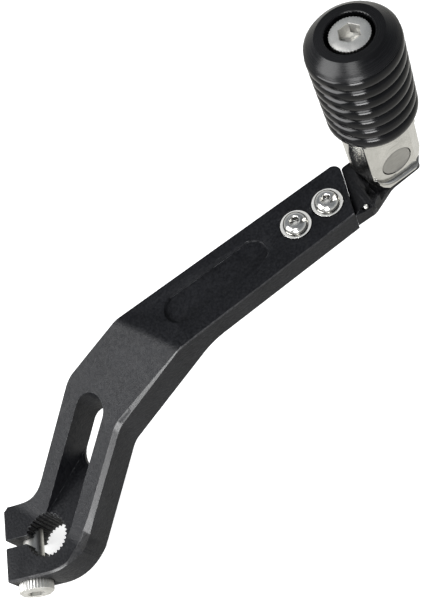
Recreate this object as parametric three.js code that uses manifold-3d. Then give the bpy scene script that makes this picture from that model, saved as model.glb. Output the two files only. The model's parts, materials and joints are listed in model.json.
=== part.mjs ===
// Motorcycle gear shift lever with a folding toe peg. Millimetres.
// Origin: centre of the serrated bore, on the outer face of the clamp hub.
// +Z runs outboard along the shift shaft, +X points from the shaft to the toe peg.
import * as THREE from "three";
import { mergeVertices } from "three/addons/utils/BufferGeometryUtils.js";
import Module from "manifold-3d";

const wasm = await Module();
wasm.setup();

// ---------------------------------------------------------------- driving dimensions
const RAD = Math.PI / 180;
const FIT = 0.1;                 // radial clearance between pieces that only touch

// clamp hub on the shift shaft
const HUB_T = 13.2;              // hub thickness
const BORE_TEETH = 32;
const BORE_ROOT_R = 6.3;
const BORE_TIP_R = 5.75;
const SLIT_DIR = 150 * RAD;      // pinch slit opens away from the toe peg
const SLIT_W = 2.5;
const EAR_S = 13.0;              // reach of the ears from the bore centre
const EAR_N = 11.1;              // half height of the ears across the slit
const CHAMFER = 0.6;
const PLAN_STEPS = 8;            // facets on each rounded plan corner

// arm
const OFFSET = 30.6;             // arm outer face above hub outer face
const ARM_T = 7.8;
const SLOPE_DIR = 20 * RAD;      // plan direction in which the sloped web climbs
const SLOPE_START = 3.6;
const SLOPE_END = 58.7;
const SLOPE_DROP = 12;           // vertical thickness of the sloped web
const HUB_REACH = 3.6;           // how much further the hub's inner face runs before the web leaves it
const ARM_DIR = -6.5 * RAD;      // plan direction of the straight upper arm
const FACE_CUT = 1.0;            // pocket depth in the outer face

// weight-saving slot in the sloped web
const SLOT_R = 4.7;
const SLOT_TOP = [33.3, 10.5];
const SLOT_FLOOR_END = [26.3, 8.0];

// folding tip
const PEG_X = 139;
const PIVOT_Z = 34.1;
const FOLD_LIMIT = 45;            // degrees the tip folds back before its shoulder stops it
const CARRIER_TOP = 29.3;
const CARRIER_BOTTOM = 24.2;
const CARRIER_FLOOR = 26.4;
const TONGUE_TOP = 27.1;
const LUG_R = 5.2;
const LUG_V = [-0.5, 2.6];       // side faces of the lug
const LUG_FOOT = [1.9, 7.2];     // the lug's foot stands outboard of the pin, clear of the folding block
const BLOCK_R = 9.7;
const BLOCK_HALF = 5.9;          // half thickness across the flats
const BLOCK_FOOT_R = 8.2;        // radius of the block's bevelled bottom rim
const KNUCKLE_R = 9.0;           // rounding of the hub-side bottom edge about the pivot
const FLAT_R = 7.1;              // rounded end of the milled flats about the pivot
const FLAT_END = 5.4;             // outboard end of the milled flats
const BLOCK_WALL = 1.8;          // wall that closes the fork on the hub side
const LEDGE_HALF = 7.0;          // half width across the ledges left below the flats
const BLOCK_BOTTOM = 26.8;
const BLOCK_TOP = 50.2;
const FORK_HALF = 3.2;
const PIN_R = 2.5;
const PIN_HEAD_R = 4.4;
const PIN_HEAD_T = 1.3;

// toe peg
const RIBS = 7;
const RIB_PITCH = 3.93;
const RIB_R = 11.7;
const RIB_ROOT_R = 10.2;
const PEG_BASE_Z = 51.3;
const STEM_R = 6;
const CAP_T = 3.3;
const CAP_FACE_R = 8.3;
const CAP_BORE_R = 5.9;

// screws
const M6_HEAD_R = 5;
const M6_R = 3;
const M4_DOME_R = 3.45;
const M4_RING_R = 4.3;
const M4_R = 2;
const CARRIER_SCREWS = [[108.6, 2.6], [118.7, 1.1]];
const PINCH_S = 7.2;
const PINCH_Z = -HUB_T / 2;
const PINCH_SEAT = 8.1;

// ---------------------------------------------------------------- helpers
function material(color, metalness, roughness) {
  return new THREE.MeshStandardMaterial({ color, metalness, roughness });
}

function clean(geometry) {
  const g = geometry.clone();
  g.deleteAttribute("normal");
  g.deleteAttribute("uv");
  return mergeVertices(g, 1e-4);
}

function solid(geometry) {
  const g = clean(geometry);
  const mesh = new wasm.Mesh({
    numProp: 3,
    vertProperties: new Float32Array(g.attributes.position.array),
    triVerts: new Uint32Array(g.index.array),
  });
  return new wasm.Manifold(mesh);
}

function geometryOf(body) {
  const m = body.getMesh();
  const g = new THREE.BufferGeometry();
  g.setAttribute("position", new THREE.BufferAttribute(new Float32Array(m.vertProperties), 3));
  g.setIndex(new THREE.BufferAttribute(new Uint32Array(m.triVerts), 1));
  g.computeVertexNormals();
  return g;
}

// closed outline from [x, y, cornerRadius] points, corners rounded with true arcs
function outline(points) {
  const shape = new THREE.Shape();
  const n = points.length;
  points.forEach(([x, y, r = 0], i) => {
    const p = new THREE.Vector2(x, y);
    if (!r) {
      if (i === 0) shape.moveTo(x, y);
      else shape.lineTo(x, y);
      return;
    }
    const a = new THREE.Vector2(...points[(i + n - 1) % n]).sub(p).normalize();
    const b = new THREE.Vector2(...points[(i + 1) % n]).sub(p).normalize();
    const half = Math.acos(THREE.MathUtils.clamp(a.dot(b), -1, 1)) / 2;
    const reach = r / Math.tan(half);
    const centre = p.clone().add(a.clone().add(b).normalize().multiplyScalar(r / Math.sin(half)));
    const start = p.clone().addScaledVector(a, reach);
    const end = p.clone().addScaledVector(b, reach);
    if (i === 0) shape.moveTo(start.x, start.y);
    else shape.lineTo(start.x, start.y);
    const a0 = Math.atan2(start.y - centre.y, start.x - centre.x);
    const a1 = Math.atan2(end.y - centre.y, end.x - centre.x);
    const clockwise = a.x * b.y - a.y * b.x > 0;
    shape.absarc(centre.x, centre.y, r, a0, a1, clockwise);
  });
  shape.closePath();
  return shape;
}

function extrude(shape, z0, z1, curveSegments = 10) {
  const depth = z1 - z0;
  const g = new THREE.ExtrudeGeometry(shape, { depth, bevelEnabled: false, curveSegments });
  return g.translate(0, 0, z0);
}

function lathe(profile, segments = 48) {
  const g = new THREE.LatheGeometry(profile.map(([r, z]) => new THREE.Vector2(r, z)), segments);
  return g.rotateX(Math.PI / 2);
}

function cylinder(r, z0, z1, segments = 48) {
  return lathe([[0, z0], [r, z0], [r, z1], [0, z1]], segments);
}

function box(x0, x1, y0, y1, z0, z1) {
  const g = new THREE.BoxGeometry(x1 - x0, y1 - y0, z1 - z0);
  return g.translate((x0 + x1) / 2, (y0 + y1) / 2, (z0 + z1) / 2);
}

function hexagon(acrossFlats) {
  const r = acrossFlats / Math.sqrt(3);
  return Array.from({ length: 6 }, (_, i) => [r * Math.cos(i * 60 * RAD), r * Math.sin(i * 60 * RAD)]);
}

function stadium(a, b, ra, rb) {
  const angle = Math.atan2(b[1] - a[1], b[0] - a[0]);
  const shape = new THREE.Shape();
  shape.absarc(a[0], a[1], ra, angle + Math.PI / 2, angle + Math.PI * 1.5, false);
  shape.absarc(b[0], b[1], rb, angle - Math.PI / 2, angle + Math.PI / 2, false);
  shape.closePath();
  return shape;
}

function ring(outer, inner, z0, z1, segments = 40) {
  return lathe([[inner, z0], [outer, z0], [outer, z1], [inner, z1], [inner, z0]], segments);
}

const group = new THREE.Group();
group.name = "gear_shift_lever";

function add(name, geometry, mat, parent = group) {
  const mesh = new THREE.Mesh(geometry, mat);
  mesh.name = name;
  parent.add(mesh);
  return mesh;
}

const blackAnodised = [0x1d1f22, 0.55, 0.5];
const stainless = [0xb9b6aa, 0.9, 0.3];

// ---------------------------------------------------------------- lever arm
const along = [Math.cos(SLIT_DIR), Math.sin(SLIT_DIR)];
const across = [-Math.sin(SLIT_DIR), Math.cos(SLIT_DIR)];

// point given along the slit (s) and across it towards the lower ear (n)
function ear(s, n, r = 0) {
  return [along[0] * s + across[0] * n, along[1] * s + across[1] * n, r];
}

const plan = outline([
  ear(EAR_S, EAR_N, 0.8),
  ear(-6.3, EAR_N, 15),
  [36.9, 0.7, 8],
  [121.2, -7.1],
  [129.3, 8.4, 2.2],
  [34.8, 21.3, 9],
  [4.5, 9.95, 9],
  ear(EAR_S - 1.1, -EAR_N + 0.2),
  ear(EAR_S, -EAR_N + 1.3),
]);

const climb = [Math.cos(SLOPE_DIR), Math.sin(SLOPE_DIR)];
const slopeRate = OFFSET / (SLOPE_END - SLOPE_START);

// side view of the lever, x along the climb and y outboard
const sideView = outline([
  [-40, -HUB_T],
  [SLOPE_START - (SLOPE_DROP - HUB_T) / -slopeRate + HUB_REACH, -HUB_T, 4],
  [SLOPE_START + (OFFSET - ARM_T + SLOPE_DROP) / slopeRate, OFFSET - ARM_T, 14],
  [180, OFFSET - ARM_T],
  [180, OFFSET],
  [SLOPE_END, OFFSET, 5],
  [SLOPE_START, 0, 8],
  [-40, 0],
]);

function sidePrism(shape, curveSegments = 8) {
  const g = extrude(shape, -80, 80, curveSegments);
  const basis = new THREE.Matrix4().makeBasis(
    new THREE.Vector3(climb[0], climb[1], 0),
    new THREE.Vector3(0, 0, 1),
    new THREE.Vector3(climb[1], -climb[0], 0),
  );
  return g.applyMatrix4(basis);
}

function frontZ(x, y) {
  const l = climb[0] * x + climb[1] * y;
  return THREE.MathUtils.clamp((l - SLOPE_START) * slopeRate, 0, OFFSET);
}

// width of the chamfer along the visible front edge, by position along the lever
function chamferWidth(x) {
  const steps = [[-20, CHAMFER], [0, CHAMFER], [4, 1.7], [9, 1.8], [13, 1.3], [36, 1.25], [60, 0.3], [130, 0.3]];
  const k = steps.findIndex(([at]) => at > x);
  const [x0, w0] = steps[k - 1];
  const [x1, w1] = steps[k];
  return w0 + (w1 - w0) * (x - x0) / (x1 - x0);
}

// solid that planes the front edge off along an open run of the plan outline
function edgeCutter(run, width) {
  const out = 1.5;
  const up = 3;
  const positions = [];
  const index = [];
  run.forEach((p, i) => {
    const before = run[Math.max(i - 1, 0)];
    const after = run[Math.min(i + 1, run.length - 1)];
    const t = after.clone().sub(before).normalize();
    const inward = new THREE.Vector2(-t.y, t.x);
    const w = width(p.x);
    const inner = p.clone().addScaledVector(inward, w);
    const outer = p.clone().addScaledVector(inward, -out);
    const zInner = frontZ(inner.x, inner.y);
    const zEdge = frontZ(p.x, p.y) - w;
    const zOuter = zEdge - out * (zInner - zEdge) / w;
    positions.push(inner.x, inner.y, zInner, inner.x, inner.y, zInner + up);
    positions.push(outer.x, outer.y, zInner + up, outer.x, outer.y, zOuter);
    if (i === 0) return;
    const a = (i - 1) * 4;
    const b = i * 4;
    for (let k = 0; k < 4; k += 1) {
      const n = (k + 1) % 4;
      index.push(a + k, a + n, b + k, a + n, b + n, b + k);
    }
  });
  const last = (run.length - 1) * 4;
  index.push(0, 2, 1, 0, 3, 2, last, last + 1, last + 2, last, last + 2, last + 3);
  const g = new THREE.BufferGeometry();
  g.setAttribute("position", new THREE.Float32BufferAttribute(positions, 3));
  g.setIndex(index);
  return g;
}

// splits the long straight stretches of a run so that its cutter can follow the folds
function stations(run) {
  return run.flatMap((p, i) => {
    if (i === 0) return [p];
    const before = run[i - 1];
    const pieces = Math.ceil(p.distanceTo(before) / 4);
    return Array.from({ length: pieces }, (_, k) => before.clone().lerp(p, (k + 1) / pieces));
  });
}

function leverArm() {
  let body = solid(extrude(plan, -HUB_T - 1, OFFSET + 1, PLAN_STEPS)).intersect(solid(sidePrism(sideView)));

  // front edge chamfer, from the lower ear round the hub and up the arm
  const points = plan.getPoints(PLAN_STEPS);
  const edge = stations(points.filter((p, i) => i === 0 || p.distanceTo(points[i - 1]) > 0.02));
  const corner = edge.findIndex((p) => p.x > 121);
  const lower = [new THREE.Vector2(...ear(EAR_S, SLIT_W / 2)), ...edge.slice(0, corner + 1)];
  body = body.subtract(solid(edgeCutter(lower, chamferWidth)));
  const upperEar = [[EAR_S - 1.1, -EAR_N + 0.2], [EAR_S, -EAR_N + 1.3], [EAR_S, 0]].map((q) => ear(...q));
  const upper = upperEar.map(([x, y]) => new THREE.Vector2(x, y));
  body = body.subtract(solid(edgeCutter(upper, () => CHAMFER * 0.7)));

  // slot: open above the hub face, through where the web stands clear of the hub
  const run = [SLOT_TOP[0] - 45 * climb[0], SLOT_TOP[1] - 45 * climb[1]];
  const channel = extrude(stadium(run, SLOT_TOP, SLOT_R, SLOT_R), 0, OFFSET + 5, 14);
  const through = extrude(stadium(SLOT_FLOOR_END, SLOT_TOP, SLOT_R, SLOT_R), -HUB_T - 5, 1, 14);
  body = body.subtract(solid(channel)).subtract(solid(through));

  // shallow pocket in the outer face
  const pocket = stadium([70.9, 7.8], [94.9, 4.9], 4.6, 4.1);
  body = body.subtract(solid(extrude(pocket, OFFSET - FACE_CUT, OFFSET + 1, 12)));

  // serrated bore and pinch slit
  const teeth = [];
  for (let i = 0; i < BORE_TEETH; i += 1) {
    const pitch = 360 / BORE_TEETH;
    const radii = [BORE_TIP_R, BORE_ROOT_R, BORE_ROOT_R];
    radii.forEach((r, k) => {
      const a = (i * pitch + k * pitch / 3) * RAD;
      teeth.push([r * Math.cos(a), r * Math.sin(a)]);
    });
  }
  body = body.subtract(solid(extrude(outline(teeth), -HUB_T - 1, OFFSET)));
  const slit = outline([ear(3, -SLIT_W / 2), ear(30, -SLIT_W / 2), ear(30, SLIT_W / 2), ear(3, SLIT_W / 2)]);
  body = body.subtract(solid(extrude(slit, -HUB_T - 1, 1)));

  // pinch bolt hole with its counterbore in the lower ear
  const hole = cylinder(M6_R + FIT, -20, 20, 32);
  const seat = cylinder(M6_HEAD_R + 0.3, PINCH_SEAT - 0.6, 20, 40);
  body = body.subtract(solid(alongPinch(hole))).subtract(solid(alongPinch(seat)));

  // screw seats, and the channel in the back that takes the carrier tongue
  CARRIER_SCREWS.forEach(([x, y]) => {
    body = body.subtract(solid(cylinder(M4_R + FIT, 0, 40, 24).translate(x, y, 0)));
    body = body.subtract(solid(cylinder(M4_RING_R + 0.3, OFFSET - 0.5, 40, 32).translate(x, y, 0)));
  });
  const channelBack = box(-40, 0, -7.0, 5.4, 0, TONGUE_TOP + FIT);
  return body.subtract(solid(toTip(channelBack)));
}

// turns a solid built along +Z so that it lies along the pinch bolt
function alongPinch(g) {
  const basis = new THREE.Matrix4().makeBasis(
    new THREE.Vector3(0, 0, 1),
    new THREE.Vector3(along[0], along[1], 0),
    new THREE.Vector3(across[0], across[1], 0),
  );
  g.applyMatrix4(basis);
  return g.translate(along[0] * PINCH_S, along[1] * PINCH_S, PINCH_Z);
}

// tip frame: origin on the peg axis, u along the arm, v across it
function toTip(g) {
  return g.rotateZ(ARM_DIR).translate(PEG_X, 0, 0);
}

// lays a solid built along +Z across the tip (along +v) at the pivot
function alongPivot(g) {
  return g.rotateX(-Math.PI / 2).translate(0, 0, PIVOT_Z);
}

add("lever_arm", geometryOf(leverArm()), material(...blackAnodised));

// ---------------------------------------------------------------- pinch bolt
function socketScrew(headR, headH, shankR, length, hexAcross, knurls = 36) {
  const rim = [];
  for (let i = 0; i < knurls; i += 1) {
    [0, 0.5].forEach((half) => {
      const a = (i + half) * 2 * Math.PI / knurls;
      const r = headR - (half ? 0.16 : 0);
      rim.push([r * Math.cos(a), r * Math.sin(a)]);
    });
  }
  let head = solid(extrude(outline(rim), 0, headH - 0.5));
  const crown = lathe([[0, headH - 0.6], [headR - 0.2, headH - 0.6], [headR - 0.7, headH], [0, headH]], 40);
  head = head.add(solid(crown));
  head = head.add(solid(cylinder(shankR, -length, 0.5, 28)));
  return head.subtract(solid(extrude(outline(hexagon(hexAcross)), headH * 0.45, headH + 1)));
}

const pinch = socketScrew(M6_HEAD_R, 6, M6_R, 16, 5);
const pinchGeometry = alongPinch(geometryOf(pinch).translate(0, 0, PINCH_SEAT));
add("pinch_bolt", pinchGeometry, material(...stainless));
const pinchWasher = ring(M6_HEAD_R, M6_R + FIT, PINCH_SEAT - 0.55, PINCH_SEAT - 0.05);
add("pinch_bolt_washer", alongPinch(pinchWasher), material(0xa9a79e, 0.9, 0.35));

// ---------------------------------------------------------------- tip carrier
function tipCarrier() {
  const base = outline([
    [-16.8, -9.1],
    [-11.2, -9.4, 4],
    [-3.5, -6.3, 6],
    [6.6, -5.9, 1.5],
    [6.6, 5.6, 1.5],
    [-11.1, 5.6, 1.2],
  ]);
  let body = solid(extrude(base, CARRIER_BOTTOM, CARRIER_TOP, 8));
  body = body.subtract(solid(box(-8.3, 20, -20, 20, CARRIER_FLOOR, 60)));
  body = body.subtract(solid(cylinder(2.1, CARRIER_FLOOR + 0.6, 60, 24).translate(-8.4, -5.3, 0)));
  body = body.subtract(solid(box(-14.4, -11.6, -9.6, -8.0, CARRIER_TOP - 0.9, 60)));
  body = body.add(solid(box(-39.2, -14, -6.8, 5.2, CARRIER_BOTTOM, TONGUE_TOP)));

  // trough that the knuckle of the block turns in
  body = body.add(solid(box(-6.5, 6.4, -4.4, 4.4, CARRIER_BOTTOM - 1, CARRIER_BOTTOM + 1)));
  body = body.subtract(solid(alongPivot(cylinder(KNUCKLE_R + 0.2, -9, 9, 72))));

  // relief that the shoulder of the block folds down into
  const shoulder = solid(cylinder(BLOCK_R + 0.2, 0, 12, 56))
    .intersect(solid(box(-20, -6.2, -LEDGE_HALF - 0.2, LEDGE_HALF + 0.2, -1, 20)));
  const folded = geometryOf(shoulder).rotateY(-FOLD_LIMIT * RAD).translate(0, 0, PIVOT_Z);
  body = body.subtract(solid(folded));

  // lug that rises from its foot to an eye round the pivot
  const depth = CARRIER_BOTTOM + 0.5 - PIVOT_Z;
  const foot = outline([[LUG_FOOT[0], depth], [LUG_FOOT[1], depth], [LUG_R - 0.2, 0], [0, 0], [1.4, -LUG_R + 0.2]]);
  const leg = extrude(foot, -LUG_V[1], -LUG_V[0]).rotateX(Math.PI / 2).translate(0, 0, PIVOT_Z);
  body = body.add(solid(leg)).add(solid(alongPivot(cylinder(LUG_R, LUG_V[0], LUG_V[1], 36))));

  // hole for the spring's lower leg
  body = body.subtract(solid(cylinder(0.7, CARRIER_BOTTOM + 0.4, 30, 14).translate(3.1, -1.7, 0)));
  body = body.subtract(solid(alongPivot(cylinder(PIN_R + 0.8 + FIT, -8, 8, 32))));

  // pin that anchors the spring, and the tapped screw holes
  body = body.subtract(solid(cylinder(0.7, CARRIER_BOTTOM + 1, 60, 16).translate(-13.0, -8.3, 0)));
  let moved = toTip(geometryOf(body));
  body = solid(moved);
  CARRIER_SCREWS.forEach(([x, y]) => {
    body = body.subtract(solid(cylinder(M4_R + FIT, 0, 60, 24).translate(x, y, 0)));
  });
  return geometryOf(body);
}

add("tip_carrier", tipCarrier(), material(0x17181a, 0.55, 0.55));

// ---------------------------------------------------------------- carrier screws
function buttonScrew() {
  const dome = [[0, 0], [M4_DOME_R, 0], [M4_DOME_R, 0.35]];
  for (let i = 1; i <= 3; i += 1) {
    const a = i * 27 * RAD;
    dome.push([M4_DOME_R * Math.cos(a) * 0.62 + M4_DOME_R * 0.38, 0.35 + 1.75 * Math.sin(a)]);
  }
  dome.push([0, 2.1]);
  let body = solid(lathe(dome, 28));
  body = body.add(solid(cylinder(M4_R, -7.4, 0.5, 16)));
  return body.subtract(solid(extrude(outline(hexagon(2.5)), 0.7, 3)));
}

const screwGeometry = geometryOf(buttonScrew());
const SCREW_NAMES = ["carrier_screw_inner", "carrier_screw_outer"];
const WASHER_NAMES = ["carrier_washer_inner", "carrier_washer_outer"];
CARRIER_SCREWS.forEach(([x, y], i) => {
  const z = OFFSET - 0.5;
  const screw = screwGeometry.clone().translate(x, y, z + 0.6);
  add(SCREW_NAMES[i], screw, material(0xb4b2a8, 0.9, 0.32));
  const washer = ring(M4_RING_R, M4_R + FIT, z + 0.04, z + 0.56).translate(x, y, 0);
  add(WASHER_NAMES[i], washer, material(0xc2c0b7, 0.9, 0.28));
});

// ---------------------------------------------------------------- folding tip
function pivotBlock() {
  const side = 2 * BLOCK_R;
  let body = solid(lathe([
    [0, BLOCK_BOTTOM],
    [BLOCK_FOOT_R, BLOCK_BOTTOM],
    [BLOCK_R - 0.4, BLOCK_BOTTOM + 2.3],
    [BLOCK_R, BLOCK_BOTTOM + 3.9],
    [BLOCK_R, BLOCK_TOP],
    [0, BLOCK_TOP],
  ], 56));
  body = body.intersect(solid(box(-side, side, -LEDGE_HALF, LEDGE_HALF, 0, BLOCK_TOP - 1.6))
    .add(solid(cylinder(BLOCK_R + 1, BLOCK_TOP - 1.6, 90))));

  // hub-side bottom edge rounded about the pivot
  const knuckle = solid(alongPivot(cylinder(KNUCKLE_R, -20, 20, 72)));
  const rest = solid(box(0, side, -20, 20, 0, 90)).add(solid(box(-side, side, -20, 20, PIVOT_Z, 90)));
  body = body.intersect(knuckle.add(rest));

  // milled flats, with a rounded end towards the hub and a ledge left below
  const low = BLOCK_BOTTOM + 0.6 - PIVOT_Z;
  const high = BLOCK_TOP - 1.6 - PIVOT_Z;
  const flat = outline([[-side, -1.5], [-FLAT_R, -1.5], [-FLAT_R, low, FLAT_R - 0.8], [side, low], [side, high], [-side, high]]);
  [[BLOCK_HALF, 20], [-20, -BLOCK_HALF]].forEach(([v0, v1]) => {
    const cut = extrude(flat, -v1, -v0, 10).rotateX(Math.PI / 2).translate(0, 0, PIVOT_Z);
    body = body.subtract(solid(cut));
  });

  // outboard corners planed off between the flats and the round
  const corner = outline([[FLAT_END, -BLOCK_HALF], [9.3, -2.75], [14, -2.75], [14, -9], [FLAT_END, -9]]);
  const facet = extrude(corner, BLOCK_BOTTOM + 0.6, BLOCK_TOP - 1.6);
  body = body.subtract(solid(facet));
  body = body.subtract(solid(facet.clone().rotateX(Math.PI).translate(0, 0, BLOCK_BOTTOM + BLOCK_TOP - 1)));

  // slot for the lug, open below and on the outboard end, closed by a wall on the hub side
  const inner = -KNUCKLE_R + 1.5 + BLOCK_WALL;
  body = body.subtract(solid(box(inner, side, -FORK_HALF, FORK_HALF, 0, PIVOT_Z + LUG_R + 0.5)));

  // pivot pin hole, pin head recess and the tapped hole for the peg screw
  body = body.subtract(solid(alongPivot(cylinder(PIN_R + FIT, -20, 20, 32))));
  body = body.subtract(solid(alongPivot(cylinder(PIN_HEAD_R + 0.15, -20, -BLOCK_HALF + PIN_HEAD_T + FIT, 40))));
  body = body.subtract(solid(cylinder(M6_R + FIT, BLOCK_TOP - 8.6, 90, 28)));
  return geometryOf(body);
}

add("pivot_block", toTip(pivotBlock()), material(...stainless));

const pinProfile = [
  [0, -BLOCK_HALF],
  [PIN_HEAD_R - 0.3, -BLOCK_HALF],
  [PIN_HEAD_R, -BLOCK_HALF + 0.3],
  [PIN_HEAD_R, -BLOCK_HALF + PIN_HEAD_T],
  [PIN_R, -BLOCK_HALF + PIN_HEAD_T],
  [PIN_R, 6.2],
  [PIN_R - 0.5, 6.2],
  [PIN_R - 0.5, 6.9],
  [PIN_R, 6.9],
  [PIN_R, 7.4],
  [PIN_R - 0.4, 7.8],
  [0, 7.8],
];
add("pivot_pin", toTip(alongPivot(lathe(pinProfile, 32))), material(0xa9a69a, 0.9, 0.38));

// retaining clip on the hidden end of the pin, with its open mouth
const clip = solid(ring(4.1, PIN_R - 0.4, 6.28, 6.82)).subtract(solid(box(-1.6, 1.6, 0, 8, 6, 7)));
add("pivot_pin_clip", toTip(alongPivot(geometryOf(clip))), material(0x8f8e88, 0.85, 0.35));

const bush = ring(PIN_R + 0.8, PIN_R + FIT, LUG_V[0], LUG_V[1]);
add("pivot_bush", toTip(alongPivot(bush)), material(0xb08a4a, 0.85, 0.4));
const thrust = ring(4.3, PIN_R + FIT, LUG_V[1] + 0.04, FORK_HALF - 0.04);
add("thrust_washer", toTip(alongPivot(thrust)), material(0xb08a4a, 0.85, 0.4));

// return spring: coil round the pin, one leg up in the block, one down to the carrier
function returnSpring() {
  const WIRE_R = 0.36;
  const COIL_R = 3.35;
  const TURNS = 2.05;
  const FROM_V = -2.75;
  class Coil extends THREE.Curve {
    getPoint(t, target = new THREE.Vector3()) {
      const a = -t * TURNS * 2 * Math.PI;
      return target.set(COIL_R * Math.cos(a), FROM_V + t * 1.7, PIVOT_Z + COIL_R * Math.sin(a));
    }
  }
  const coil = new Coil();
  const start = coil.getPoint(0);
  const end = coil.getPoint(1);
  const leg = new THREE.CatmullRomCurve3([
    end,
    new THREE.Vector3(3.1, -1.5, end.z - 1.5),
    new THREE.Vector3(3.1, -1.7, CARRIER_FLOOR + 1),
    new THREE.Vector3(3.1, -1.7, CARRIER_BOTTOM + 0.9),
  ]);
  const path = new THREE.CurvePath();
  path.add(new THREE.LineCurve3(new THREE.Vector3(COIL_R, FROM_V, PIVOT_Z + 4.2), start));
  path.add(coil);
  path.add(leg);
  const wire = new THREE.Shape();
  wire.absarc(0, 0, WIRE_R, 0, 2 * Math.PI, false);
  return new THREE.ExtrudeGeometry(wire, { steps: 96, curveSegments: 3, extrudePath: path });
}

add("return_spring", toTip(returnSpring()), material(0x9c9a92, 0.9, 0.3));

const anchor = lathe([[0, CARRIER_BOTTOM + 1.1], [0.65, CARRIER_BOTTOM + 1.1], [0.65, CARRIER_TOP - 0.3],
  [0.4, CARRIER_TOP], [0, CARRIER_TOP]], 20).translate(-13.0, -8.3, 0);
add("spring_anchor_pin", toTip(anchor), material(0xc8c6bd, 0.9, 0.25));

// ---------------------------------------------------------------- toe peg
const PEG_TOP_Z = PEG_BASE_Z + RIBS * RIB_PITCH;
const CAP_Z = PEG_TOP_Z + 0.05;
const CAP_FACE_Z = CAP_Z + CAP_T;
const SEAT_Z = CAP_FACE_Z - 6.7;
const BOSS_R = 7.4;

const baseWasher = ring(9.3, M6_R + 0.2, BLOCK_TOP + 0.05, PEG_BASE_Z - 0.05);
add("peg_base_washer", toTip(baseWasher), material(0xbdbbb1, 0.9, 0.3));

const coreTop = SEAT_Z - 1.3;
add("peg_core", toTip(ring(STEM_R, M6_R + 0.2, PEG_BASE_Z, coreTop)), material(0x8d8f90, 0.85, 0.4));

function pegSleeve() {
  const bore = STEM_R + FIT;
  const top = PEG_TOP_Z;
  const profile = [[bore, PEG_BASE_Z]];
  for (let i = 0; i < RIBS; i += 1) {
    const z = PEG_BASE_Z + i * RIB_PITCH;
    profile.push([RIB_ROOT_R, z]);
    for (let k = 1; k < 5; k += 1) {
      const a = Math.PI * k / 5;
      const r = RIB_ROOT_R + (RIB_R - RIB_ROOT_R) * Math.pow(Math.sin(a), 0.75);
      profile.push([r, z + RIB_PITCH * (1 - Math.cos(a)) / 2]);
    }
  }
  profile.push([RIB_ROOT_R, top], [BOSS_R + FIT, top], [BOSS_R + FIT, coreTop - FIT], [bore, coreTop - FIT]);
  profile.push([bore, PEG_BASE_Z]);
  return lathe(profile, 44);
}

add("peg_sleeve", toTip(pegSleeve()), material(0x0d0d0e, 0.25, 0.25));

function pegCap() {
  return lathe([
    [M6_R + 0.2, coreTop + 0.05],
    [BOSS_R, coreTop + 0.05],
    [BOSS_R, CAP_Z],
    [11.3, CAP_Z],
    [11.4, CAP_Z + 0.25],
    [11.0, CAP_Z + 0.75],
    [10.4, CAP_Z + 1.55],
    [CAP_FACE_R, CAP_FACE_Z],
    [CAP_BORE_R + 0.3, CAP_FACE_Z],
    [CAP_BORE_R, CAP_FACE_Z - 0.3],
    [CAP_BORE_R, SEAT_Z],
    [M6_R + 0.2, SEAT_Z],
    [M6_R + 0.2, coreTop + 0.05],
  ], 44);
}

add("peg_cap", toTip(pegCap()), material(0x141517, 0.6, 0.35));
const pegWasher = ring(M6_HEAD_R + 0.5, M6_R + FIT, SEAT_Z + 0.05, SEAT_Z + 0.6, 40);
add("peg_screw_washer", toTip(pegWasher), material(0xa9a79e, 0.9, 0.35));
const pegScrewLength = SEAT_Z + 0.65 - (BLOCK_TOP - 7.6);
const pegScrew = geometryOf(socketScrew(M6_HEAD_R, 6, M6_R, pegScrewLength, 5, 40));
add("peg_screw", toTip(pegScrew.translate(0, 0, SEAT_Z + 0.65)), material(...stainless));

export default group;
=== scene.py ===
import json
import math

import bmesh
import bpy
from mathutils import Matrix, Vector


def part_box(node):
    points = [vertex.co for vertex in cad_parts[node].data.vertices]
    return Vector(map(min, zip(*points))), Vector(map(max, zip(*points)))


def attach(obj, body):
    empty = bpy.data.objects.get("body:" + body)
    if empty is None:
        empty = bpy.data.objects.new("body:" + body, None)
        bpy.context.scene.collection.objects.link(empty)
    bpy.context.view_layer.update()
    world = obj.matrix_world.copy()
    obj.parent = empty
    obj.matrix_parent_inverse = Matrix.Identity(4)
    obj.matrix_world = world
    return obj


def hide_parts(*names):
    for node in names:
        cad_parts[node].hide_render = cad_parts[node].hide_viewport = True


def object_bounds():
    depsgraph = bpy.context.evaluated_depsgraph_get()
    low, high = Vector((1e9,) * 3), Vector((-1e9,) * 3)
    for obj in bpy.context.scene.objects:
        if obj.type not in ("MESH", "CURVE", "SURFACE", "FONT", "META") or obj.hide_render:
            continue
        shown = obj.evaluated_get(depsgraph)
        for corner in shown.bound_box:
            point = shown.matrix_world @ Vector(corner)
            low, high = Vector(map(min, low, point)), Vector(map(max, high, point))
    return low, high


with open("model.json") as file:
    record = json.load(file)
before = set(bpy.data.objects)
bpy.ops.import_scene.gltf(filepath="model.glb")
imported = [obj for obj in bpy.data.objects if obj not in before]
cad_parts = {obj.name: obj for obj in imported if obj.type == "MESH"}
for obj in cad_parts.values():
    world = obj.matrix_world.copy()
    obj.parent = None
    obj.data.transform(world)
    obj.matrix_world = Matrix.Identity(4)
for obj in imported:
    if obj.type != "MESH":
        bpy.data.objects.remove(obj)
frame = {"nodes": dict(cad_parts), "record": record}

CAD_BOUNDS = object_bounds()

MM = 0.001

# Floor: a sheet of paper under the part, glowing so that it photographs white.
FLOOR_DROP = 1.0 * MM                       # it lies this far below the lowest point
FLOOR_HALF = 2.2                            # half its side, in metres
FLOOR_GLOW = 0.78

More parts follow.
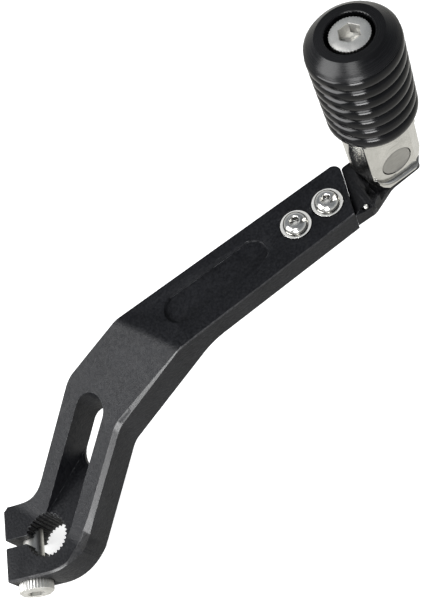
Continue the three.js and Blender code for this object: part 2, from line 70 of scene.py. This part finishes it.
# Lights: all stand this far from the middle of the part. Each row is a name, the direction it
# stands in, its width and height in metres, and its power in watts.
LIGHT_DISTANCE = 0.60
LIGHTS = (
    ("slope_light", (-0.77, 0.20, 0.60), (0.42, 0.42), 5.6),
    ("rib_light", (-0.60, -0.76, 0.30), (0.24, 0.26), 4.2),
    ("bevel_light", (-0.40, -0.48, 0.78), (0.20, 0.20), 1.3),
    ("metal_light", (0.24, 0.50, 0.83), (0.15, 0.15), 0.08),
)

# World: bright and warm low down, dimmer and cooler overhead. Each span is in the sine of the elevation.
SKY_SPAN = (-0.05, 0.50)
SKY_STRENGTH = (0.78, 0.32)
TINT_SPAN = (-0.2, 0.4)
LOW_TINT = (1.0, 0.99, 0.94, 1.0)
HIGH_TINT = (0.88, 0.93, 1.0, 1.0)

# Finishing of the CAD surfaces.
WELD = 0.002 * MM                           # points closer than this are joined
SLIVER = 0.001 * MM                         # edges shorter than this are dropped
SAME_PLANE = math.radians(0.1)              # triangles within this angle are one flat face
FLAT_WEIGHT = 90                            # how far large faces rule the shading of their corners
CREASE = math.radians(27)                   # edges sharper than this stay sharp
CRISP = {"peg_cap": math.radians(14), "peg_screw": math.radians(20), "pinch_bolt": math.radians(20)}
FLAT_SIDED = ("pivot_block",)               # long flat triangles here are joined into whole faces

# Camera: where it stands, which way it looks and which way is up in the picture.
EYE = Vector((61.26, -137.56, 268.48)) * MM
LOOK = Vector((0.0620, 0.5068, -0.8598)).normalized()
PICTURE_UP = Vector((0.6702, 0.6172, 0.4121))
SENSOR_HEIGHT = 36.0
FOCAL_LENGTH = 62.56
CLIP_NEAR, CLIP_FAR = 0.01, 20.0

scene = bpy.context.scene
scene.view_settings.view_transform = "Standard"
scene.view_settings.look = "None"

lowest, highest = CAD_BOUNDS
MIDDLE = (Vector(lowest) + Vector(highest)) / 2


# ---------------------------------------------------------------- camera

def make_camera():
    data = bpy.data.cameras.new("camera")
    data.sensor_fit = "VERTICAL"
    data.sensor_height = SENSOR_HEIGHT
    data.lens = FOCAL_LENGTH
    data.clip_start = CLIP_NEAR
    data.clip_end = CLIP_FAR
    camera = bpy.data.objects.new("camera", data)
    back = -LOOK
    up = (PICTURE_UP - PICTURE_UP.dot(back) * back).normalized()
    right = up.cross(back)
    turn = Matrix((right, up, back)).transposed().to_4x4()
    camera.matrix_world = Matrix.Translation(EYE) @ turn
    scene.collection.objects.link(camera)
    scene.camera = camera


make_camera()


# ---------------------------------------------------------------- node helpers

RING_DRIFT = 0.0002                         # how far turning rings wander, per radian
RANGE_SOCKETS = ("From Min", "From Max", "To Min", "To Max")


class Nodes:
    """A material's node tree, with short calls for the nodes used here."""

    def __init__(self, name):
        self.material = bpy.data.materials.new(name)
        self.material.use_nodes = True
        self.tree = self.material.node_tree
        self.shader = self.tree.nodes["Principled BSDF"]
        coords = self.tree.nodes.new("ShaderNodeTexCoord")
        self.place = coords.outputs["Object"]

    def join(self, source, target):
        self.tree.links.new(source, target)

    def value(self, kind, a, b):
        """One sum of two numbers or sockets; b is None where the sum takes only one."""
        node = self.tree.nodes.new("ShaderNodeMath")
        node.operation = kind
        for socket, given in zip(node.inputs, (a, b)):
            if isinstance(given, (int, float)):
                socket.default_value = given
            elif given is not None:
                self.join(given, socket)
        return node.outputs[0]

    def blend(self, first, second, share):
        """The given share of the second value and the rest of the first."""
        rest = self.value("MULTIPLY", first, 1 - share)
        return self.value("ADD", rest, self.value("MULTIPLY", second, share))

    def stretched(self, scale, centre=(0, 0, 0), turn=0.0):
        """Object coordinates from the centre, turned about Z and multiplied by the scale."""
        node = self.tree.nodes.new("ShaderNodeMapping")
        node.vector_type = "TEXTURE"
        node.inputs["Location"].default_value = centre
        node.inputs["Rotation"].default_value = (0, 0, turn)
        node.inputs["Scale"].default_value = [1 / s for s in scale]
        self.join(self.place, node.inputs["Vector"])
        return node.outputs["Vector"]

    def around(self, centre):
        """Coordinates (radius, a little of the angle, height) about an upright axis."""
        shifted = self.stretched((1, 1, 1), centre)
        split = self.tree.nodes.new("ShaderNodeSeparateXYZ")
        self.join(shifted, split.inputs[0])
        across, along = (self.value("POWER", split.outputs[i], 2.0) for i in (0, 1))
        square = self.value("ADD", across, along)
        radius = self.value("SQRT", square, None)
        angle = self.value("ARCTAN2", split.outputs[1], split.outputs[0])
        merge = self.tree.nodes.new("ShaderNodeCombineXYZ")
        self.join(radius, merge.inputs[0])
        self.join(self.value("MULTIPLY", angle, RING_DRIFT), merge.inputs[1])
        self.join(split.outputs[2], merge.inputs[2])
        return merge.outputs[0]

    def noise(self, vector, scale, detail=3.0, rough=0.55, distortion=0.0):
        node = self.tree.nodes.new("ShaderNodeTexNoise")
        node.inputs["Scale"].default_value = scale
        node.inputs["Detail"].default_value = detail
        node.inputs["Roughness"].default_value = rough
        node.inputs["Distortion"].default_value = distortion
        self.join(vector, node.inputs["Vector"])
        return node.outputs["Fac"]

    def span(self, source, low, high, start=0.3, end=0.7):
        """The source, taken from the range start to end and carried to the range low to high."""
        node = self.tree.nodes.new("ShaderNodeMapRange")
        node.clamp = True
        for name, number in zip(RANGE_SOCKETS, (start, end, low, high)):
            node.inputs[name].default_value = number
        self.join(source, node.inputs["Value"])
        return node.outputs["Result"]

    def mixed(self, amount, first, second):
        """The first colour at amount 0 and the second at 1; each is a tuple or a socket."""
        node = self.tree.nodes.new("ShaderNodeMix")
        node.data_type = "RGBA"
        self.join(amount, node.inputs["Factor"])
        for socket, given in ((node.inputs[6], first), (node.inputs[7], second)):
            if isinstance(given, tuple):
                socket.default_value = (*given, 1.0)
            else:
                self.join(given, socket)
        return node.outputs[2]

    def edges(self, radius, start=0.02, end=0.25):
        """1 on sharp edges and 0 on flat or gently curved faces; and the rounded normal."""
        bevel = self.tree.nodes.new("ShaderNodeBevel")
        bevel.samples = 4
        bevel.inputs["Radius"].default_value = radius
        plain = self.tree.nodes.new("ShaderNodeNewGeometry")
        dot = self.tree.nodes.new("ShaderNodeVectorMath")
        dot.operation = "DOT_PRODUCT"
        self.join(bevel.outputs["Normal"], dot.inputs[0])
        self.join(plain.outputs["Normal"], dot.inputs[1])
        away = self.value("SUBTRACT", 1.0, dot.outputs["Value"])
        return self.span(away, 0.0, 1.0, start, end), bevel.outputs["Normal"]

    def shaded_in_recesses(self, colour, distance=1.6 * MM, depth=0.12):
        """Painted shade: darker where the surface is shut in, such as sockets, corners and crevices, from
        ambient occlusion.
        """
        open_sky = self.tree.nodes.new("ShaderNodeAmbientOcclusion")
        open_sky.samples = 8
        open_sky.inputs["Distance"].default_value = distance
        shade = self.span(open_sky.outputs["AO"], depth, 1.0, 0.25, 0.85)
        node = self.tree.nodes.new("ShaderNodeVectorMath")
        node.operation = "SCALE"
        self.join(colour, node.inputs[0])
        self.join(shade, node.inputs["Scale"])
        return node.outputs[0]

    def bump(self, height, strength, distance, normal=None):
        node = self.tree.nodes.new("ShaderNodeBump")
        node.inputs["Strength"].default_value = strength
        node.inputs["Distance"].default_value = distance
        self.join(height, node.inputs["Height"])
        if normal is not None:
            self.join(normal, node.inputs["Normal"])
        return node.outputs["Normal"]

    def finish(self, colour, roughness, normal, metallic=0.0, specular=0.5):
        self.join(colour, self.shader.inputs["Base Color"])
        self.join(roughness, self.shader.inputs["Roughness"])
        self.join(normal, self.shader.inputs["Normal"])
        self.shader.inputs["Metallic"].default_value = metallic
        self.shader.inputs["Specular IOR Level"].default_value = specular
        return self.material


# ---------------------------------------------------------------- materials
# Colours are linear. Noise scales are in cycles per metre, so 1000 gives grains of about a millimetre.

SMUDGE = 0.35                               # share of the haze in brushed metal
EDGE_WEAR_AND_HIGHLIGHT_GREY = (0.20, 0.205, 0.21)             # bare alloy at worn edges of the anodising, and partly a painted edge highlight
EDGE_RUB_AND_HIGHLIGHT_METAL = (0.86, 0.85, 0.82)             # rubbed edges of bright metal, and partly a painted edge highlight


def blasted_black(name, dark, light, rough=(0.32, 0.62), specular=0.15):
    """Bead-blasted black anodising: fine even grain, faint mottling, worn thinner on the edges; the
    lighter edge colour is partly wear, partly painted highlight.
    """
    n = Nodes(name)
    patches = n.noise(n.place, 85.0, 4.0)
    grain = n.noise(n.place, 1500.0, 3.0, 0.65)
    pits = n.noise(n.place, 900.0, 2.0, 0.5)
    both = n.blend(patches, grain, 0.7)
    colour = n.mixed(n.span(both, 0.0, 1.0, 0.38, 0.62), dark, light)
    edge_wear_and_highlight, rounded = n.edges(0.24 * MM)
    breaks = n.span(n.noise(n.place, 420.0, 3.0), 0.0, 0.75, 0.42, 0.62)
    # edges lighter in colour: partly wear, partly painted highlight
    colour = n.mixed(n.value("MULTIPLY", edge_wear_and_highlight, breaks), colour, EDGE_WEAR_AND_HIGHLIGHT_GREY)
    roughness = n.span(n.blend(grain, pits, 0.4), *rough)
    normal = n.bump(grain, 0.9, 0.12 * MM, n.bump(pits, 0.25, 0.1 * MM, rounded))
    return n.finish(colour, roughness, normal, specular=specular)


def gloss_black(name, centre, dark, light, rough):
    """Polished, turned and hard-anodised black: tight highlights with hair-fine turning lines."""
    n = Nodes(name)
    about = n.around(centre)
    lines = n.noise(about, 5200.0, 2.0, 0.5)
    broad = n.noise(n.place, 160.0, 3.0)
    colour = n.mixed(n.span(broad, 0.0, 1.0), dark, light)
    edge_wear_and_highlight, rounded = n.edges(0.10 * MM)
    # edges lighter in colour: partly wear, partly painted highlight
    colour = n.mixed(n.value("MULTIPLY", edge_wear_and_highlight, 0.25), colour, (0.09, 0.09, 0.09))
    roughness = n.span(n.blend(lines, broad, 0.5), *rough)
    normal = n.bump(lines, 0.03, 0.02 * MM, rounded)
    return n.finish(colour, roughness, normal, specular=0.24)


def brushed(name, dark, light, rough, direction=(160.0, 3800.0, 3800.0)):
    """Stainless or plain steel, satin with straight brush lines, smudges and brighter edges, partly rubbed
    and partly a painted highlight.
    """
    n = Nodes(name)
    hair = n.noise(n.stretched(direction), 1.0, 4.0, 0.65)
    haze = n.noise(n.place, 130.0, 4.0, 0.6)
    specks = n.noise(n.place, 1500.0, 2.0)
    shade = n.blend(hair, haze, SMUDGE)
    colour = n.mixed(n.span(shade, 0.0, 1.0, 0.34, 0.66), dark, light)
    bright, rounded = n.edges(0.12 * MM)
    # edges lighter in colour: partly rubbed metal, partly painted highlight
    colour = n.mixed(n.value("MULTIPLY", bright, 0.5), colour, EDGE_RUB_AND_HIGHLIGHT_METAL)
    # painted shade: colour darkened in sockets, corners and crevices
    colour = n.shaded_in_recesses(colour)
    roughness = n.span(n.blend(hair, specks, 0.45), *rough)
    normal = n.bump(hair, 0.05, 0.03 * MM, rounded)
    return n.finish(colour, roughness, normal, metallic=1.0)


def turned(name, centre, dark, light, rough, metallic=1.0, line_bump=0.10, specular=0.5):
    """Metal turned on a lathe: rings about its axis that catch the light."""
    n = Nodes(name)
    about = n.around(centre)
    rings = n.noise(about, 4200.0, 3.0, 0.6)
    haze = n.noise(n.place, 210.0, 3.0, 0.6)
    shade = n.blend(rings, haze, 0.4)
    colour = n.mixed(n.span(shade, 0.0, 1.0, 0.36, 0.64), dark, light)
    bright, rounded = n.edges(0.10 * MM)
    # edges lighter in colour: partly rubbed metal, partly painted highlight
    rubbed_and_highlight = tuple(min(1.0, c * 1.6 + 0.02) for c in light)
    colour = n.mixed(n.value("MULTIPLY", bright, 0.4), colour, rubbed_and_highlight)
    # painted shade: colour darkened in sockets, corners and crevices
    colour = n.shaded_in_recesses(colour)
    roughness = n.span(shade, *rough)
    normal = n.bump(rings, line_bump, 0.03 * MM, rounded)
    return n.finish(colour, roughness, normal, metallic=metallic, specular=specular)


def machined_edge(name, dark, light):
    """The long front bevel: cut after blasting, smoother, with fine lines along its length."""
    n = Nodes(name)
    lines = n.noise(n.stretched((500.0, 2600.0, 2600.0), turn=0.38), 1.0, 3.0, 0.7)
    specks = n.noise(n.place, 1900.0, 2.0, 0.6)
    both = n.blend(lines, specks, 0.4)
    colour = n.mixed(n.span(both, 0.0, 1.0, 0.36, 0.64), dark, light)
    edge_wear_and_highlight, rounded = n.edges(0.15 * MM)
    # edges lighter in colour: partly wear, partly painted highlight
    colour = n.mixed(n.value("MULTIPLY", edge_wear_and_highlight, 0.3), colour, (0.25, 0.25, 0.25))
    roughness = n.span(both, 0.24, 0.40)
    return n.finish(colour, roughness, n.bump(both, 0.25, 0.05 * MM, rounded), specular=0.32)


def middle(node):
    a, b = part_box(node)
    return tuple((a + b) / 2)


PEG = middle("peg_sleeve")

ARM = blasted_black("arm_black", (0.0015, 0.0017, 0.0025), (0.0095, 0.0099, 0.0116))
CARRIER = blasted_black("carrier_black", (0.0022, 0.0023, 0.0028), (0.0065, 0.0067, 0.0078))
RIBS = gloss_black("rib_black", PEG, (0.0012, 0.0012, 0.0014), (0.0040, 0.0040, 0.0044), (0.10, 0.18))
CAP = turned("cap_black", PEG, (0.0018, 0.0018, 0.0022), (0.0050, 0.0050, 0.0056), (0.22, 0.32),
             metallic=0.0, line_bump=0.08, specular=0.22)
EDGE = machined_edge("arm_edge_black", (0.010, 0.010, 0.011), (0.030, 0.030, 0.031))
STAINLESS = brushed("block_stainless", (0.56, 0.552, 0.525), (0.74, 0.732, 0.70), (0.40, 0.54),
                    direction=(3600.0, 3600.0, 170.0))
SCREW_STEEL = turned("screw_steel", middle("carrier_screw_inner"), (0.50, 0.495, 0.47), (0.76, 0.75, 0.72),
                     (0.14, 0.26))
PLAIN_STEEL = turned("washer_steel", PEG, (0.36, 0.355, 0.34), (0.55, 0.545, 0.52), (0.26, 0.40))
POLISHED = turned("polished_steel", PEG, (0.55, 0.545, 0.52), (0.78, 0.77, 0.74), (0.12, 0.22),
                  line_bump=0.05)
PIN_STEEL = brushed("pin_steel", (0.30, 0.295, 0.28), (0.46, 0.455, 0.435), (0.26, 0.40))
SPRING = brushed("spring_steel", (0.34, 0.335, 0.32), (0.56, 0.55, 0.53), (0.22, 0.34))
BRONZE = turned("bush_bronze", middle("pivot_bush"), (0.36, 0.22, 0.09), (0.52, 0.34, 0.15), (0.28, 0.42))
CORE_ALLOY = turned("core_alloy", PEG, (0.48, 0.48, 0.47), (0.66, 0.66, 0.65), (0.28, 0.42))

SURFACES = {
    "black_anodised": ARM, "black_gloss": RIBS, "black_satin_cap": CAP, "black_steel": CARRIER,
    "stainless": STAINLESS, "plain_steel": PLAIN_STEEL, "polished_steel": POLISHED,
    "pin_steel": PIN_STEEL, "spring_steel": SPRING, "bronze": BRONZE, "core_alloy": CORE_ALLOY,
}
BY_NODE = {                                 # these differ from the rest of their slot
    "carrier_screw_inner": SCREW_STEEL, "carrier_screw_outer": SCREW_STEEL,
    "carrier_washer_inner": SCREW_STEEL, "carrier_washer_outer": SCREW_STEEL,
}


# ---------------------------------------------------------------- pieces from the frame

def body_of_node(node):
    for body, members in frame["record"]["behaviour"]["bodies"].items():
        if node in members:
            return body
    raise KeyError(node)


def is_front_bevel(normal):
    """True for the bevel between the outboard faces and the front side of the lever."""
    leans_outboard = 0.35 < normal.z < 0.93
    faces_front = normal.y < -0.35
    return leans_outboard and faces_front


def finished(node, material, sharp):
    """The CAD node's own surface, joined up, with flats kept flat and rounds smoothly shaded."""
    mesh = frame["nodes"][node].data.copy()
    form = bmesh.new()
    form.from_mesh(mesh)
    bmesh.ops.remove_doubles(form, verts=form.verts, dist=WELD)
    bmesh.ops.dissolve_degenerate(form, edges=form.edges, dist=SLIVER)
    if node in FLAT_SIDED:
        bmesh.ops.dissolve_limit(form, angle_limit=SAME_PLANE, verts=form.verts, edges=form.edges)
    for face in form.faces:
        face.smooth = True
    form.to_mesh(mesh)
    form.free()
    mesh.set_sharp_from_angle(angle=sharp)
    mesh.materials.clear()
    mesh.materials.append(material)
    if node == "lever_arm":
        mesh.materials.append(EDGE)
        for face in mesh.polygons:
            face.material_index = int(is_front_bevel(face.normal))
    piece = bpy.data.objects.new(node + "_finished", mesh)
    scene.collection.objects.link(piece)
    flats = piece.modifiers.new("flats", "WEIGHTED_NORMAL")
    flats.keep_sharp = True
    flats.weight = FLAT_WEIGHT
    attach(piece, body_of_node(node))
    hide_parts(node)


slot_of = {part["node"]: part["material_slot"] for part in frame["record"]["subparts"]}
for node in sorted(frame["nodes"]):
    slot_name = slot_of[node]
    material = BY_NODE.get(node, SURFACES[slot_name])
    finished(node, material, CRISP.get(node, CREASE))


# ---------------------------------------------------------------- floor and light

def make_floor():
    form = bmesh.new()
    height = lowest[2] - FLOOR_DROP
    corners = [(x * FLOOR_HALF, y * FLOOR_HALF) for x, y in ((-1, -1), (1, -1), (1, 1), (-1, 1))]
    form.faces.new([form.verts.new((x, y, height)) for x, y in corners])
    mesh = bpy.data.meshes.new("floor")
    form.to_mesh(mesh)
    form.free()
    floor = bpy.data.objects.new("floor", mesh)
    scene.collection.objects.link(floor)
    n = Nodes("floor_paper")
    tone = n.noise(n.place, 3.0, 2.0)
    colour = n.mixed(n.span(tone, 0.0, 1.0), (0.50, 0.50, 0.50), (0.53, 0.53, 0.525))
    rough = n.span(tone, 0.75, 0.85)
    normal = n.bump(n.noise(n.place, 900.0, 2.0), 0.02, 0.05 * MM)
    mesh.materials.append(n.finish(colour, rough, normal, specular=0.1))
    n.shader.inputs["Emission Color"].default_value = (1.0, 1.0, 1.0, 1.0)
    n.shader.inputs["Emission Strength"].default_value = FLOOR_GLOW
    floor.visible_glossy = False


def softbox(name, direction, size, power):
    """A rectangular light that faces the middle of the part from that direction."""
    data = bpy.data.lights.new(name, "AREA")
    data.shape = "RECTANGLE"
    data.size, data.size_y = size
    data.energy = power
    lamp = bpy.data.objects.new(name, data)
    away = Vector(direction).normalized()
    turn = away.to_track_quat("Z", "Y").to_matrix().to_4x4()
    lamp.matrix_world = Matrix.Translation(MIDDLE + away * LIGHT_DISTANCE) @ turn
    scene.collection.objects.link(lamp)


def make_world():
    world = bpy.data.worlds.new("studio")
    scene.world = world
    world.use_nodes = True
    tree = world.node_tree
    coords = tree.nodes.new("ShaderNodeTexCoord")
    split = tree.nodes.new("ShaderNodeSeparateXYZ")
    tree.links.new(coords.outputs["Generated"], split.inputs[0])
    ramp = tree.nodes.new("ShaderNodeMapRange")
    for name, number in zip(RANGE_SOCKETS, SKY_SPAN + SKY_STRENGTH):
        ramp.inputs[name].default_value = number
    tree.links.new(split.outputs[2], ramp.inputs["Value"])
    tree.links.new(ramp.outputs["Result"], tree.nodes["Background"].inputs["Strength"])
    tint = tree.nodes.new("ShaderNodeMix")
    tint.data_type = "RGBA"
    tint.inputs[6].default_value = LOW_TINT
    tint.inputs[7].default_value = HIGH_TINT
    height = tree.nodes.new("ShaderNodeMapRange")
    height.inputs["From Min"].default_value, height.inputs["From Max"].default_value = TINT_SPAN
    tree.links.new(split.outputs[2], height.inputs["Value"])
    tree.links.new(height.outputs["Result"], tint.inputs["Factor"])
    tree.links.new(tint.outputs[2], tree.nodes["Background"].inputs["Color"])


make_floor()
make_world()
for row in LIGHTS:
    softbox(*row)


# ---------------------------------------------------------------- end

def plain(bounds):
    return [[float(x) for x in corner] for corner in bounds]
